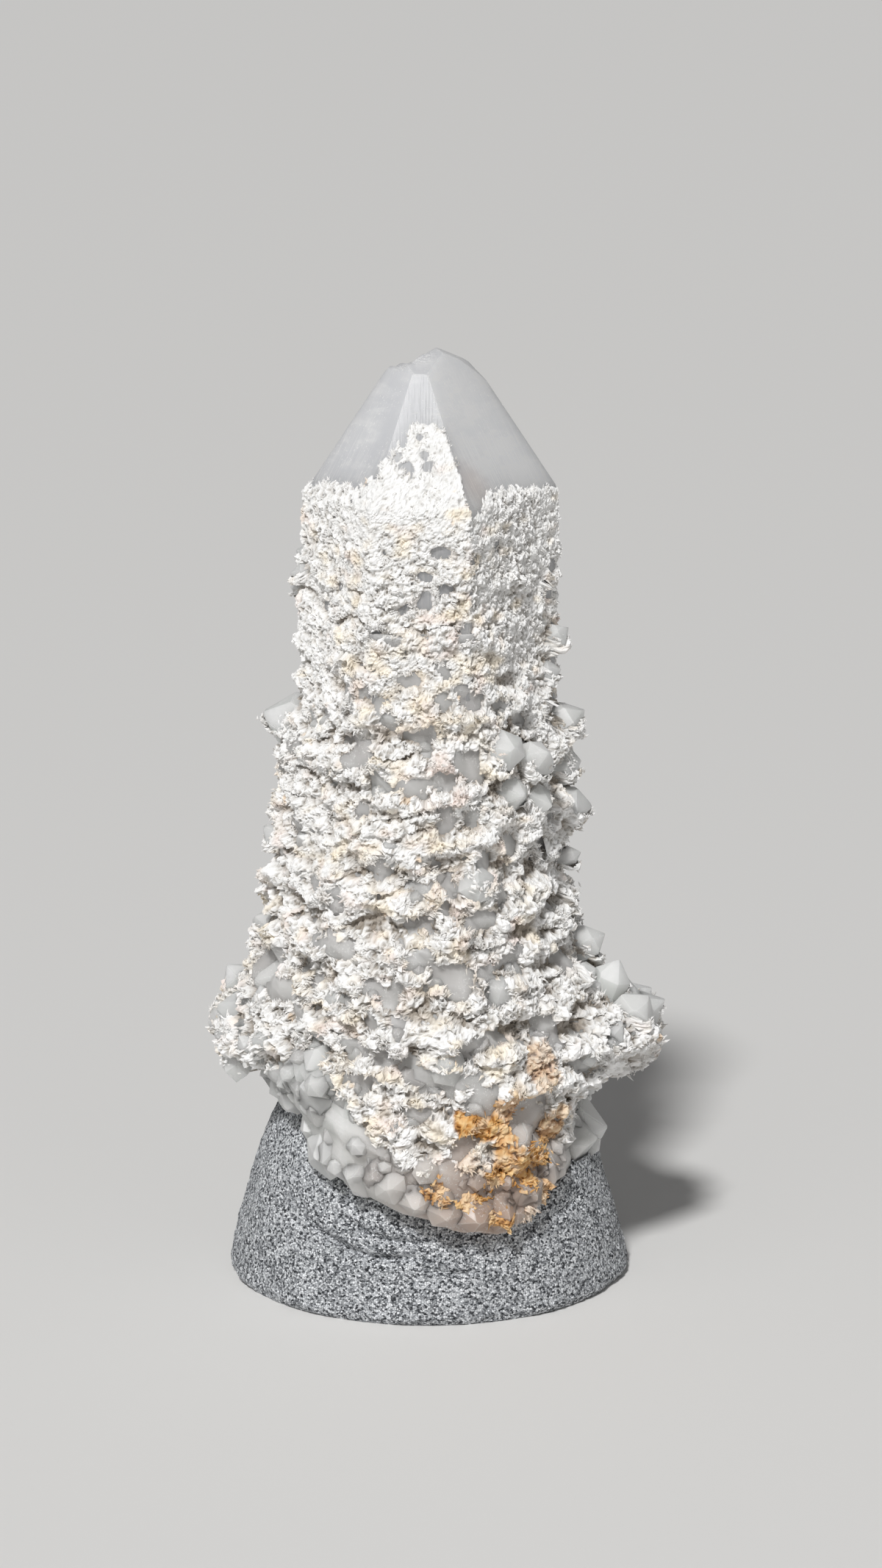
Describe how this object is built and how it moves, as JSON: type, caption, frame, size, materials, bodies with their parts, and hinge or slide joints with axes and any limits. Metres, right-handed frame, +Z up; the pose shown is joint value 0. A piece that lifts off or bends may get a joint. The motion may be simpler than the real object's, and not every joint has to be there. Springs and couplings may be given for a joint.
{
  "type": "encrusted quartz crystal point on a moulded stand",
  "caption": "Blunt quartz point standing upright, its body crusted with small crystals and white blades, resting in the seat of a low granular stand.",
  "frame": {"origin": "middle of the stand's flat underside", "axes": "+Z up along the quartz point, -Y towards the side with the lowest, stained edge, +X to the right of someone who looks at that side"},
  "size_m": [0.092, 0.083, 0.1899],
  "materials": {
    "milky_quartz": "milky see-through quartz, flat faces with fine striations",
    "white_crust": "matt white mineral crust of small standing blades, cream in places",
    "stained_crust": "the same bladed crust stained ochre by iron",
    "grey_grains": "light and dark grey grains bound in a matt mix"
  },
  "bodies": {
    "root": {"encrusted_crystal": "white_crust", "stand": "grey_grains"}
  },
  "joints": []
}
